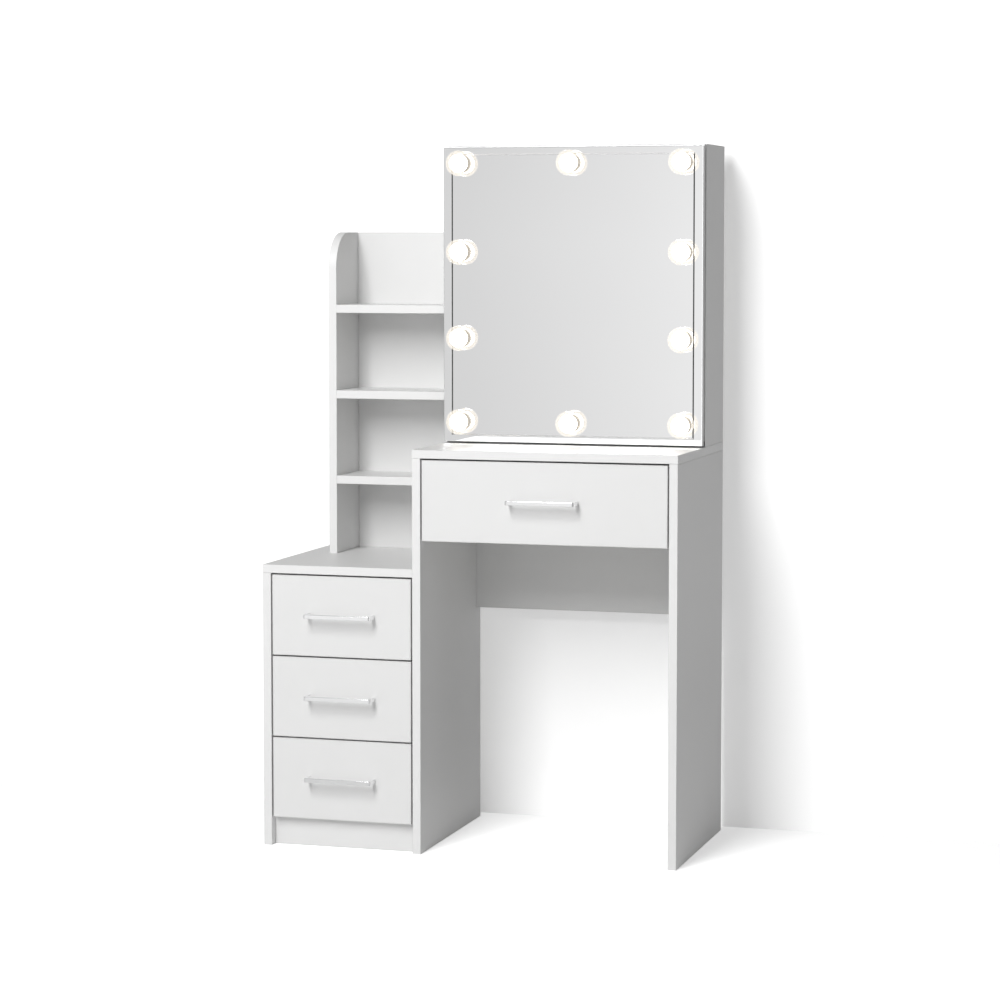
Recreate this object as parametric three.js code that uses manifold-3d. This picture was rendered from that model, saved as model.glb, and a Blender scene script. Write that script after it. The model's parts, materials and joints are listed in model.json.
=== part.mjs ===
// Vanity table with a lit sliding mirror: a three-drawer cabinet with a shelf tower on it,
// a desk with one wide drawer, and a shallow mirror box standing on the desk.
// Millimetres, +Z up. Inside the group, x starts at the cabinet's left side, y starts at the
// front edges of the panels and runs to the back, and z starts at the floor.
import * as THREE from 'three';
import { mergeVertices } from 'three/addons/utils/BufferGeometryUtils.js';
import Module from 'manifold-3d';

const wasm = await Module();
wasm.setup();

// Overall sizes
const width = 800;
const depth = 380;
const deskHeight = 756;
const cabinetHeight = 534;
const cabinetWidth = 296; // up to the middle panel, which the desk and the cabinet share
const towerHeight = 624; // above the cabinet
const mirrorBoxHeight = 565; // above the desk
const upperDepth = 156; // of the shelf tower and the mirror box

// Boards
const boardT = 16;
const thinBackT = 3;
const backInset = 13; // keeps the back boards clear of a skirting board
const plinthHeight = 55;
const plinthGap = 1; // behind the drawer fronts
const kneePanelHeight = 318.5;

// Shelf tower
const towerInset = 52;
const towerCornerR = 70;
const lowestShelfTop = 152; // above the cabinet
const shelfPitch = 166;
const shelfNames = ['lower', 'middle', 'upper'];

// Mirror box
const boxShelfNames = ['lower', 'upper'];
const boxShelfRecess = 2;

// Sliding mirror
const slideGap = 13; // between the mirror board and the box, taken up by the tracks
const mirrorBoardT = 12;
const glassT = 4;
const mirrorLift = 3.5; // above the desk
const mirrorDrop = 4; // below the top of the box
const grooveSideInset = 17;
const grooveEndInset = 14;
const grooveWidth = 3;
const grooveDepth = 1.5;

// Tracks and runner of the mirror
const trackHeight = 10.5;
const trackWall = 1.5;
const trackMouth = 5;
const trackEndGap = 1; // back from the ends and edges of the box
const trackClearance = 0.5;

// Bulbs
const globeR = 24;
const globeReach = 22; // from the glass to the globe's centre
const bulbBaseR = 17;
const bulbBaseHeight = 6;
const bulbStemR = 4;
const bulbSideInset = 36.5;
const bulbTopInset = 30;
const bulbBottomInset = 38.5;
const middleRowDrop = 4; // the two middle rows hang a little below even spacing
const bulbTurns = 20;
const globeSteps = 9;
const holeTurns = 20;
const holeClearance = 0.3;

// Drawers
const frontT = 16;
const frontGap = 3;
const deskFrontHeight = 150;
const drawerSideT = 12;
const drawerBackGap = 15; // between a drawer box and the desk's back panel
const drawerBoxHeight = 100;
const drawerBottomT = 3;
const drawerBottomLift = 8;
const bottomGroove = 5;
const bottomClearance = 0.2;
const drawerNames = ['lower', 'middle', 'upper'];

// Drawer runners
const runnerSpace = 12.5; // between a drawer box and the panel beside it
const runnerEndGap = 18; // short of the drawer box's back
const runnerSetback = 2; // behind the drawer front
const runnerWall = 1.5;
const runnerUnderlap = 7.5; // of the ledge under the drawer box
const runnerLedgeDrop = 8; // below the drawer box
const runnerFloorGap = 2; // above the front's lower edge or the board below
const runnerRise = 22; // above the drawer box's lower edge
const runnerLip = 4;
const runnerSideClearance = 1.5;

// Handles
const handleLength = 133;
const handleReach = 28;
const handleHeight = 8;
const handleBarT = 6;
const handleCornerR = 5;
const handleInnerR = 2;
const handleBevel = 0.8;
const handleRise = 2; // above the middle of the front

// Lines that several pieces meet
const middleRight = cabinetWidth + boardT;
const rightInner = width - boardT;
const backFace = depth - backInset;
const backFront = backFace - boardT;
const underDesk = deskHeight - boardT;
const underCabinetTop = cabinetHeight - boardT;
const towerTop = cabinetHeight + towerHeight;
const boxTop = deskHeight + mirrorBoxHeight;
const boxFloor = deskHeight + boardT;
const boxCeiling = boxTop - boardT;
const upperFront = depth - upperDepth;
const mirrorBack = upperFront - slideGap;
const glassBack = mirrorBack - mirrorBoardT;
const glassFront = glassBack - glassT;
const mirrorBottom = deskHeight + mirrorLift;
const mirrorTop = boxTop - mirrorDrop;
const plinthFace = frontT + plinthGap;
const drawerBoxEnd = backFront - drawerBackGap;
const runnerLedge = runnerSpace + runnerUnderlap;
const deskBoxLift = runnerFloorGap + runnerLedgeDrop; // of the box above its front's lower edge
const cabinetBoxLift = boardT + deskBoxLift; // clears the cabinet's bottom board

const finishes = {
  melamine: { color: 0xf3f3f1, roughness: 0.42, metalness: 0 },
  hardboard: { color: 0xebe9e4, roughness: 0.7, metalness: 0 },
  mirror: { color: 0xe6eaec, roughness: 0.02, metalness: 1 },
  diffuser: { color: 0xfff3e0, roughness: 0.25, metalness: 0 },
  handle: { color: 0xd9dadb, roughness: 0.18, metalness: 1 },
  track: { color: 0xcfd1d3, roughness: 0.35, metalness: 1 },
  runner: { color: 0xf0f0ee, roughness: 0.35, metalness: 0.2 },
};

const vanity = new THREE.Group();
vanity.position.set(-width / 2, -(depth - handleReach) / 2, 0);

function add(name, geometry, finish) {
  const mesh = new THREE.Mesh(geometry, new THREE.MeshStandardMaterial(finishes[finish]));
  mesh.name = name;
  vanity.add(mesh);
  return mesh;
}

// A block between two values along each axis
function block([x0, x1], [y0, y1], [z0, z1]) {
  const geometry = new THREE.BoxGeometry(x1 - x0, y1 - y0, z1 - z0);
  return geometry.translate((x0 + x1) / 2, (y0 + y1) / 2, (z0 + z1) / 2);
}

function addBoard(name, x, y, z, finish = 'melamine') {
  return add(name, block(x, y, z), finish);
}

function outline(points) {
  return new THREE.Shape(points.map(([u, v]) => new THREE.Vector2(u, v)));
}

// Extrudes a shape drawn in y and z along x
function alongX(shape, [x0, x1]) {
  const geometry = new THREE.ExtrudeGeometry(shape, { depth: x1 - x0, bevelEnabled: false });
  const turn = new THREE.Matrix4().makeBasis(
    new THREE.Vector3(0, 1, 0),
    new THREE.Vector3(0, 0, 1),
    new THREE.Vector3(1, 0, 0),
  );
  return geometry.applyMatrix4(turn).translate(x0, 0, 0);
}

// Extrudes a shape drawn in x and z along y
function alongY(shape, [y0, y1]) {
  const geometry = new THREE.ExtrudeGeometry(shape, { depth: y1 - y0, bevelEnabled: false });
  const turn = new THREE.Matrix4().makeBasis(
    new THREE.Vector3(1, 0, 0),
    new THREE.Vector3(0, 0, 1),
    new THREE.Vector3(0, -1, 0),
  );
  return geometry.applyMatrix4(turn).translate(0, y1, 0);
}

function toSolid(geometry) {
  const bare = geometry.clone();
  bare.deleteAttribute('normal');
  bare.deleteAttribute('uv');
  const merged = mergeVertices(bare);
  return new wasm.Manifold(new wasm.Mesh({
    numProp: 3,
    vertProperties: new Float32Array(merged.attributes.position.array),
    triVerts: new Uint32Array(merged.index.array),
  }));
}

// Cuts every tool out of a geometry
function cut(geometry, tools) {
  const solid = tools.reduce((rest, tool) => rest.subtract(toSolid(tool)), toSolid(geometry));
  const mesh = solid.getMesh();
  const result = new THREE.BufferGeometry();
  result.setAttribute('position', new THREE.BufferAttribute(mesh.vertProperties, 3));
  result.setIndex(new THREE.BufferAttribute(mesh.triVerts, 1));
  const flat = result.toNonIndexed();
  flat.computeVertexNormals();
  return flat;
}

function addCabinet() {
  const inner = [boardT, cabinetWidth];
  addBoard('cabinet_left_panel', [0, boardT], [0, depth], [0, underCabinetTop]);
  addBoard('cabinet_top', [0, cabinetWidth], [0, depth], [underCabinetTop, cabinetHeight]);
  addBoard('cabinet_bottom', inner, [plinthFace, backFace], [plinthHeight, plinthHeight + boardT]);
  addBoard('cabinet_plinth', inner, [plinthFace, plinthFace + boardT], [0, plinthHeight]);
  const backHeight = [plinthHeight + boardT, underCabinetTop];
  addBoard('cabinet_back', inner, [backFace - thinBackT, backFace], backHeight, 'hardboard');
}

function addDesk() {
  const inner = [middleRight, rightInner];
  addBoard('middle_panel', [cabinetWidth, middleRight], [0, depth], [0, underDesk]);
  addBoard('desk_right_panel', [rightInner, width], [0, depth], [0, underDesk]);
  addBoard('desk_top', [cabinetWidth, width], [0, depth], [underDesk, deskHeight]);
  addBoard('desk_back_panel', inner, [backFront, backFace], [underDesk - kneePanelHeight, underDesk]);
}

function addTower() {
  const side = new THREE.Shape();
  side.moveTo(upperFront, cabinetHeight);
  side.lineTo(depth, cabinetHeight);
  side.lineTo(depth, towerTop);
  side.absarc(upperFront + towerCornerR, towerTop - towerCornerR, towerCornerR, Math.PI / 2, Math.PI);
  side.closePath();
  const sideInner = towerInset + boardT;
  add('tower_side', alongX(side, [towerInset, sideInner]), 'melamine');
  const inner = [sideInner, cabinetWidth];
  addBoard('tower_back', inner, [backFront, backFace], [cabinetHeight, towerTop]);
  shelfNames.forEach((name, i) => {
    const top = cabinetHeight + lowestShelfTop + i * shelfPitch;
    addBoard(`tower_shelf_${name}`, inner, [upperFront, backFront], [top - boardT, top]);
  });
}

function addMirrorBox() {
  const inner = [middleRight, rightInner];
  const full = [upperFront, depth];
  addBoard('mirror_box_left', [cabinetWidth, middleRight], full, [deskHeight, boxTop]);
  addBoard('mirror_box_right', [rightInner, width], full, [deskHeight, boxTop]);
  addBoard('mirror_box_top', inner, [upperFront, backFace], [boxCeiling, boxTop]);
  addBoard('mirror_box_bottom', inner, [upperFront, backFace], [deskHeight, boxFloor]);
  const thinBackFront = backFace - thinBackT;
  addBoard('mirror_box_back', inner, [thinBackFront, backFace], [boxFloor, boxCeiling], 'hardboard');
  const bays = boxShelfNames.length + 1;
  const bayHeight = (boxCeiling - boxFloor - boxShelfNames.length * boardT) / bays;
  boxShelfNames.forEach((name, i) => {
    const under = boxFloor + bayHeight + i * (bayHeight + boardT);
    const shelfY = [upperFront + boxShelfRecess, thinBackFront];
    addBoard(`mirror_box_shelf_${name}`, inner, shelfY, [under, under + boardT]);
  });
}

// The tracks are lipped channels on the box's front edges, open towards the mirror
function addTracks() {
  const lipFace = mirrorBack + trackClearance;
  const trackX = [cabinetWidth + trackEndGap, width - trackEndGap];
  const topTrackBottom = boxTop - trackEndGap - trackHeight;
  const channel = (z0) => {
    const middle = z0 + trackHeight / 2;
    return outline([
      [upperFront, z0],
      [upperFront, z0 + trackHeight],
      [lipFace, z0 + trackHeight],
      [lipFace, middle + trackMouth / 2],
      [lipFace + trackWall, middle + trackMouth / 2],
      [lipFace + trackWall, z0 + trackHeight - trackWall],
      [upperFront - trackWall, z0 + trackHeight - trackWall],
      [upperFront - trackWall, z0 + trackWall],
      [lipFace + trackWall, z0 + trackWall],
      [lipFace + trackWall, middle - trackMouth / 2],
      [lipFace, middle - trackMouth / 2],
      [lipFace, z0],
    ]);
  };
  add('mirror_track_top', alongX(channel(topTrackBottom), trackX), 'track');
  add('mirror_track_bottom', alongX(channel(deskHeight + trackEndGap), trackX), 'track');

  // T-shaped runner: its stem is screwed to the mirror board, its head rides in the top track
  const middle = topTrackBottom + trackHeight / 2;
  const stem = trackMouth / 2 - trackClearance;
  const head = trackHeight / 2 - trackWall - trackClearance;
  const neck = lipFace + trackWall + trackClearance;
  const headEnd = upperFront - trackWall - trackClearance;
  const section = outline([
    [mirrorBack, middle - stem],
    [neck, middle - stem],
    [neck, middle - head],
    [headEnd, middle - head],
    [headEnd, middle + head],
    [neck, middle + head],
    [neck, middle + stem],
    [mirrorBack, middle + stem],
  ]);
  add('mirror_runner', alongX(section, trackX), 'track');
}

function bulbPlaces() {
  const left = cabinetWidth + bulbSideInset;
  const right = width - bulbSideInset;
  const bottom = mirrorBottom + bulbBottomInset;
  const top = mirrorTop - bulbTopInset;
  const lowerMiddle = bottom + (top - bottom) / 3 - middleRowDrop;
  const upperMiddle = top - (top - bottom) / 3 - middleRowDrop;
  const rows = [bottom, lowerMiddle, upperMiddle, top];
  const places = rows.flatMap((z, i) => [
    [`bulb_left_${i + 1}`, left, z],
    [`bulb_right_${i + 1}`, right, z],
  ]);
  const centre = (left + right) / 2;
  return [...places, ['bulb_middle_bottom', centre, bottom], ['bulb_middle_top', centre, top]];
}

// Turned about y and pointing out of the mirror: stem, round base and frosted globe
function bulbGeometry() {
  const baseFace = globeReach - bulbBaseHeight;
  const startAngle = Math.PI - Math.acos(baseFace / globeR);
  const points = [
    [0, -glassT - mirrorBoardT],
    [bulbStemR, -glassT - mirrorBoardT],
    [bulbStemR, 0],
    [bulbBaseR, 0],
    [bulbBaseR, bulbBaseHeight],
  ];
  for (let i = 0; i <= globeSteps; i += 1) {
    const angle = startAngle * (1 - i / globeSteps);
    points.push([globeR * Math.sin(angle), globeReach + globeR * Math.cos(angle)]);
  }
  points[points.length - 1][0] = 0;
  const profile = points.map(([r, h]) => new THREE.Vector2(r, h));
  return new THREE.LatheGeometry(profile, bulbTurns).rotateX(Math.PI);
}

function addMirror() {
  const x = [cabinetWidth, width];
  const z = [mirrorBottom, mirrorTop];
  const holes = bulbPlaces().map(([, px, pz]) => {
    const hole = new THREE.CylinderGeometry(
      bulbStemR + holeClearance,
      bulbStemR + holeClearance,
      4 * slideGap,
      holeTurns,
    );
    return hole.translate(px, glassBack, pz);
  });
  add('mirror_board', cut(block(x, [glassBack, mirrorBack], z), holes), 'melamine');

  // Decorative V-groove line round the glass
  const grooveX = [x[0] + grooveSideInset, x[1] - grooveSideInset];
  const grooveZ = [z[0] + grooveEndInset, z[1] - grooveEndInset];
  const vee = (at) => outline([
    [at - grooveWidth / 2, glassFront],
    [at, glassFront + grooveDepth],
    [at + grooveWidth / 2, glassFront],
    [at + grooveWidth / 2, glassFront - grooveDepth],
    [at - grooveWidth / 2, glassFront - grooveDepth],
  ]);
  const upright = (at) => {
    const length = grooveZ[1] - grooveZ[0];
    const geometry = new THREE.ExtrudeGeometry(vee(at), { depth: length, bevelEnabled: false });
    return geometry.translate(0, 0, grooveZ[0]);
  };
  const level = (at) => {
    const turned = outline(vee(at).getPoints().map(({ x: across, y }) => [y, across]));
    return alongX(turned, grooveX);
  };
  const grooves = [...grooveX.map(upright), ...grooveZ.map(level)];
  const plate = block(x, [glassFront, glassBack], z);
  add('mirror_glass', cut(plate, [...holes, ...grooves]), 'mirror');

  for (const [name, px, pz] of bulbPlaces()) {
    add(name, bulbGeometry(), 'diffuser').position.set(px, glassFront, pz);
  }
}

// Bow handle drawn in x and y, with its feet on the drawer front at y = 0
function handleGeometry() {
  const half = handleLength / 2;
  const innerHalf = half - handleBarT;
  const innerReach = handleReach - handleBarT;
  const bow = new THREE.Shape();
  bow.moveTo(-half, 0);
  bow.lineTo(-half, -handleReach + handleCornerR);
  bow.absarc(-half + handleCornerR, -handleReach + handleCornerR, handleCornerR, Math.PI, Math.PI * 1.5);
  bow.absarc(half - handleCornerR, -handleReach + handleCornerR, handleCornerR, Math.PI * 1.5, Math.PI * 2);
  bow.lineTo(half, 0);
  bow.lineTo(innerHalf, 0);
  bow.absarc(innerHalf - handleInnerR, -innerReach + handleInnerR, handleInnerR, 0, -Math.PI / 2, true);
  bow.absarc(-innerHalf + handleInnerR, -innerReach + handleInnerR, handleInnerR, -Math.PI / 2, -Math.PI, true);
  bow.lineTo(-innerHalf, 0);
  bow.closePath();
  const geometry = new THREE.ExtrudeGeometry(bow, {
    depth: handleHeight - 2 * handleBevel,
    curveSegments: 5,
    bevelThickness: handleBevel,
    bevelSize: handleBevel,
    bevelOffset: -handleBevel,
    bevelSegments: 2,
  });
  return geometry.translate(0, 0, handleBevel - handleHeight / 2);
}

// Runner on the panel at x = panelFace, opening towards the drawer (side is 1 or -1)
function addRunner(name, panelFace, side, boxBottom) {
  const lidReach = runnerSpace - runnerSideClearance;
  const section = [
    [0, -runnerLedgeDrop],
    [runnerLedge, -runnerLedgeDrop],
    [runnerLedge, -runnerLip],
    [runnerLedge - runnerWall, -runnerLip],
    [runnerLedge - runnerWall, -runnerLedgeDrop + runnerWall],
    [runnerWall, -runnerLedgeDrop + runnerWall],
    [runnerWall, runnerRise - runnerWall],
    [lidReach, runnerRise - runnerWall],
    [lidReach, runnerRise],
    [0, runnerRise],
  ];
  const placed = outline(section.map(([u, v]) => [panelFace + side * u, boxBottom + v]));
  const runnerY = [frontT + runnerSetback, drawerBoxEnd - runnerEndGap];
  add(name, alongY(placed, runnerY), 'runner');
}

function addDrawer(name, [left, right], [z0, z1], boxLift) {
  const boxX = [left + runnerSpace, right - runnerSpace];
  const innerX = [boxX[0] + drawerSideT, boxX[1] - drawerSideT];
  const innerEnd = drawerBoxEnd - drawerSideT;
  const boxZ = [z0 + boxLift, z0 + boxLift + drawerBoxHeight];
  const grooveX = [innerX[0] - bottomGroove, innerX[1] + bottomGroove];
  const grooveY = [frontT - bottomGroove, innerEnd + bottomGroove];
  const bottomZ = boxZ[0] + drawerBottomLift;
  const groove = block(grooveX, grooveY, [bottomZ, bottomZ + drawerBottomT + 2 * bottomClearance]);

  const face = block([left + frontGap, right - frontGap], [0, frontT], [z0, z1]);
  add(`${name}_front`, cut(face, [groove]), 'melamine');

  const room = block(innerX, [frontT - 1, innerEnd], [boxZ[0] - 1, boxZ[1] + 1]);
  add(`${name}_box`, cut(block(boxX, [frontT, drawerBoxEnd], boxZ), [room, groove]), 'melamine');

  const within = ([low, high]) => [low + bottomClearance, high - bottomClearance];
  const bottomLow = bottomZ + bottomClearance;
  const sheetZ = [bottomLow, bottomLow + drawerBottomT];
  addBoard(`${name}_bottom`, within(grooveX), within(grooveY), sheetZ, 'hardboard');

  const handle = add(`${name}_handle`, handleGeometry(), 'handle');
  handle.position.set((left + right) / 2, 0, (z0 + z1) / 2 + handleRise);

  addRunner(`${name}_runner_left`, left, 1, boxZ[0]);
  addRunner(`${name}_runner_right`, right, -1, boxZ[0]);
}

function addDrawers() {
  const deskFrontTop = underDesk - frontGap;
  const deskFrontZ = [deskFrontTop - deskFrontHeight, deskFrontTop];
  addDrawer('desk_drawer', [middleRight, rightInner], deskFrontZ, deskBoxLift);

  const opening = underCabinetTop - plinthHeight;
  const frontHeight = opening / drawerNames.length - frontGap;
  drawerNames.forEach((name, i) => {
    const z0 = plinthHeight + i * (frontHeight + frontGap);
    const front = [z0, z0 + frontHeight];
    addDrawer(`cabinet_drawer_${name}`, [boardT, cabinetWidth], front, cabinetBoxLift);
  });
}

addCabinet();
addDesk();
addTower();
addMirrorBox();
addTracks();
addMirror();
addDrawers();

export default vanity;
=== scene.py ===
import json
import math
import bmesh
import bpy
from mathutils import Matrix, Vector


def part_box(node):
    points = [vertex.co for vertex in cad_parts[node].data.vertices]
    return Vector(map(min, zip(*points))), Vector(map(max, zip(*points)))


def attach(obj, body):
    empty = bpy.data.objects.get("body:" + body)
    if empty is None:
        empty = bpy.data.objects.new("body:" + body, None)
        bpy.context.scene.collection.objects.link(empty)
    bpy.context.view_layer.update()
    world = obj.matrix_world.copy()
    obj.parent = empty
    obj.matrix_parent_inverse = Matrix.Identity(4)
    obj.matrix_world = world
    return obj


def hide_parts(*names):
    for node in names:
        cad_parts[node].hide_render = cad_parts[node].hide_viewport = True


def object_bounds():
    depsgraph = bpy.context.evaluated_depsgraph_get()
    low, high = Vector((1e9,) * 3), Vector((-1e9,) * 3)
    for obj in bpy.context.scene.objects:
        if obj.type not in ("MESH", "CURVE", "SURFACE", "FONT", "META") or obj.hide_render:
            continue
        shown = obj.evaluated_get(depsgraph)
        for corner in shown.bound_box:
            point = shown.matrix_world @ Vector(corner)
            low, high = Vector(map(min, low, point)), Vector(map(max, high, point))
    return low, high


# Vanity table: three-drawer cabinet with a shelf tower, desk with one drawer, lit sliding mirror

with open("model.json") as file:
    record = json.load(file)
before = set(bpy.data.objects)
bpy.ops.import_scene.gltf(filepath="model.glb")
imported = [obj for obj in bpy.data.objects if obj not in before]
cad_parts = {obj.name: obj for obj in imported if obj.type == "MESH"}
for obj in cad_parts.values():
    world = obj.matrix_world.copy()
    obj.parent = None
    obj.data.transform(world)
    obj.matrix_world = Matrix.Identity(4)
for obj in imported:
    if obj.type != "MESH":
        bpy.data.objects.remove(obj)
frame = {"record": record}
cadLow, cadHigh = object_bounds()
mm = 0.001
scene = bpy.context.scene
bodyOf = {
    node: body
    for body, members in frame["record"]["behaviour"]["bodies"].items()
    for node in members
}
drawers = ["desk_drawer", "cabinet_drawer_lower", "cabinet_drawer_middle", "cabinet_drawer_upper"]


cameraLook = {
    "place": (1.5777, -5.2227, 1.1346),
    "turn": 0.2910,  # to the left of straight ahead, radians
    "tilt": 0.07116,  # downwards, radians
    "lens": 103.889,
    "shiftDown": 0.05,
}


def makeCamera(look):
    data = bpy.data.cameras.new("studioCamera")
    data.sensor_width = 36
    data.lens = look["lens"]
    data.shift_y = -look["shiftDown"]
    data.clip_start, data.clip_end = 0.05, 100
    camera = bpy.data.objects.new("studioCamera", data)
    camera.location = look["place"]
    camera.rotation_euler = (math.pi / 2 - look["tilt"], 0, look["turn"])
    scene.collection.objects.link(camera)
    scene.camera = camera


makeCamera(cameraLook)


class Finish:  # a material with its Principled shader and short ways to add nodes
    def __init__(self, name, colour, roughness, metallic=0.0):
        self.material = bpy.data.materials.new(name)
        self.material.use_nodes = True
        self.tree = self.material.node_tree
        self.shader = self.tree.nodes["Principled BSDF"]
        self.set("Base Color", (*colour, 1))
        self.set("Roughness", roughness)
        self.set("Metallic", metallic)
        self.coords = self.tree.nodes.new("ShaderNodeTexCoord")

    def set(self, socket, value):
        self.shader.inputs[socket].default_value = value

    def link(self, source, target):
        self.tree.links.new(source, target)

    def noise(self, scale, detail=2.0, stretch=(1, 1, 1), roughness=0.5):
        mapping = self.tree.nodes.new("ShaderNodeMapping")
        mapping.inputs["Scale"].default_value = stretch
        texture = self.tree.nodes.new("ShaderNodeTexNoise")
        texture.inputs["Scale"].default_value = scale
        texture.inputs["Detail"].default_value = detail
        texture.inputs["Roughness"].default_value = roughness
        self.link(self.coords.outputs["Object"], mapping.inputs["Vector"])
        self.link(mapping.outputs["Vector"], texture.inputs["Vector"])
        return texture.outputs["Fac"]

    def cells(self, scale, feature="F1"):
        texture = self.tree.nodes.new("ShaderNodeTexVoronoi")
        texture.feature = feature
        texture.inputs["Scale"].default_value = scale
        self.link(self.coords.outputs["Object"], texture.inputs["Vector"])
        return texture.outputs["Distance"]

    def spread(self, value, low, high, fromLow=0.3, fromHigh=0.7):
        ranged = self.tree.nodes.new("ShaderNodeMapRange")
        ranged.inputs["From Min"].default_value = fromLow
        ranged.inputs["From Max"].default_value = fromHigh
        ranged.inputs["To Min"].default_value = low
        ranged.inputs["To Max"].default_value = high
        self.link(value, ranged.inputs["Value"])
        return ranged.outputs["Result"]

    def between(self, factor, first, second):
        mix = self.tree.nodes.new("ShaderNodeMix")
        mix.data_type = "RGBA"
        for side, value in (("A", first), ("B", second)):
            socket = [s for s in mix.inputs if s.name == side and s.type == "RGBA"][0]
            socket.default_value = (*value, 1)
        self.link(factor, [s for s in mix.inputs if s.name == "Factor" and s.type == "VALUE"][0])
        return [s for s in mix.outputs if s.type == "RGBA"][0]

    def add(self, first, second, share=1.0):
        maths = self.tree.nodes.new("ShaderNodeMath")
        maths.operation = "MULTIPLY_ADD"
        self.link(second, maths.inputs[0])
        maths.inputs[1].default_value = share
        self.link(first, maths.inputs[2])
        return maths.outputs[0]

    def colour(self, source):
        self.link(source, self.shader.inputs["Base Color"])

    def rough(self, source):
        self.link(source, self.shader.inputs["Roughness"])

    def bump(self, height, distance, strength=1.0):
        node = self.tree.nodes.new("ShaderNodeBump")
        node.inputs["Distance"].default_value = distance
        node.inputs["Strength"].default_value = strength
        self.link(height, node.inputs["Height"])
        self.link(node.outputs["Normal"], self.shader.inputs["Normal"])


def melamineFinish(name, tone, roughness):
    finish = Finish(name, tone, roughness)
    broad = finish.noise(5, 3)
    dark = tuple(c * 0.985 for c in tone)
    finish.colour(finish.between(finish.spread(broad, 0, 1), dark, tone))
    fine = finish.noise(1100, 2)
    pores = finish.cells(1500)
    finish.rough(finish.spread(finish.add(broad, fine, 0.4), roughness - 0.03, roughness + 0.06, 0.4, 1.0))
    finish.bump(finish.add(fine, pores, 0.5), 0.03 * mm, 0.5)
    finish.set("IOR", 1.5)
    finish.set("Specular IOR Level", 0.5)
    return finish.material


def hardboardFinish():
    finish = Finish("whiteHardboard", (0.76, 0.75, 0.72), 0.6)
    fibres = finish.noise(220, 4, (1, 1, 0.25), 0.65)
    specks = finish.noise(900, 3)
    tint = finish.add(fibres, specks, 0.5)
    shade = finish.spread(tint, 0, 1, 0.5, 1.0)
    finish.colour(finish.between(shade, (0.70, 0.685, 0.65), (0.79, 0.785, 0.765)))
    finish.rough(finish.spread(specks, 0.52, 0.68))
    finish.bump(tint, 0.08 * mm, 0.6)
    return finish.material


def chipboardFinish():
    finish = Finish("rawChipboard", (0.48, 0.36, 0.24), 0.85)
    chips = finish.cells(420)
    flakes = finish.noise(600, 4, (1, 1, 2.5))
    shade = finish.spread(finish.add(chips, flakes, 0.6), 0, 1, 0.2, 1.0)
    finish.colour(finish.between(shade, (0.30, 0.21, 0.13), (0.62, 0.50, 0.36)))
    finish.bump(flakes, 0.25 * mm, 0.8)
    return finish.material


def mirrorFinish():
    finish = Finish("mirrorSilver", (0.93, 0.93, 0.93), 0.012, 1.0)
    haze = finish.noise(3, 3)
    finish.colour(finish.between(finish.spread(haze, 0, 1), (0.925, 0.925, 0.928), (0.94, 0.94, 0.942)))
    finish.rough(finish.spread(haze, 0.008, 0.02))
    return finish.material


def cutGlassFinish(name, tone):
    finish = Finish(name, (tone, tone, tone), 0.14, 1.0)
    grind = finish.noise(700, 3)
    finish.colour(finish.between(finish.spread(grind, 0, 1), (tone * 0.85,) * 3, (min(1, tone * 1.15),) * 3))
    finish.rough(finish.spread(grind, 0.10, 0.22))
    finish.bump(grind, 0.02 * mm, 0.4)
    return finish.material


def glassEdgeFinish():
    finish = Finish("groundGlassEdge", (0.92, 0.94, 0.94), 0.16, 0.9)
    grind = finish.noise(900, 3)
    finish.colour(finish.between(finish.spread(grind, 0, 1), (0.88, 0.91, 0.905), (0.95, 0.96, 0.96)))
    finish.rough(finish.spread(grind, 0.12, 0.24))
    finish.bump(grind, 0.03 * mm, 0.5)
    finish.set("Coat Weight", 0.3)
    return finish.material


def aluminiumFinish(name, tone, roughness, brush):
    finish = Finish(name, tone, roughness, 1.0)
    lines = finish.noise(260, 4, brush, 0.6)
    cloud = finish.noise(30, 2)
    dark = tuple(c * 0.93 for c in tone)
    finish.colour(finish.between(finish.spread(finish.add(lines, cloud, 0.4), 0, 1, 0.4, 1.0), dark, tone))
    finish.rough(finish.spread(lines, roughness * 0.75, roughness * 1.35))
    finish.bump(lines, 0.02 * mm, 0.35)
    return finish.material


def plasticFinish(name, tone, roughness, grain=1400):
    finish = Finish(name, tone, roughness)
    moulding = finish.noise(grain, 2)
    cloud = finish.noise(40, 2)
    dark = tuple(c * 0.95 for c in tone)
    finish.colour(finish.between(finish.spread(cloud, 0, 1), dark, tone))
    finish.rough(finish.spread(moulding, roughness * 0.85, roughness * 1.2))
    finish.bump(moulding, 0.03 * mm, 0.4)
    return finish.material


def powderCoatFinish():
    finish = Finish("whitePowderCoat", (0.78, 0.78, 0.77), 0.35)
    peel = finish.noise(650, 2)
    cloud = finish.noise(25, 2)
    finish.colour(finish.between(finish.spread(cloud, 0, 1), (0.74, 0.74, 0.73), (0.80, 0.80, 0.79)))
    finish.rough(finish.spread(peel, 0.28, 0.42))
    finish.bump(peel, 0.06 * mm, 0.6)
    return finish.material


def lampCoreFinish(look):  # the lit heart of a lamp
    finish = Finish("litCore", (0.95, 0.93, 0.88), 0.3)
    frost = finish.noise(160, 2)
    glow = finish.between(finish.spread(frost, 0, 1), (1.0, 0.93, 0.82), (1.0, 0.96, 0.88))
    finish.link(glow, finish.shader.inputs["Emission Color"])
    finish.set("Emission Strength", look["coreGlow"])
    return finish.material


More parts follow.
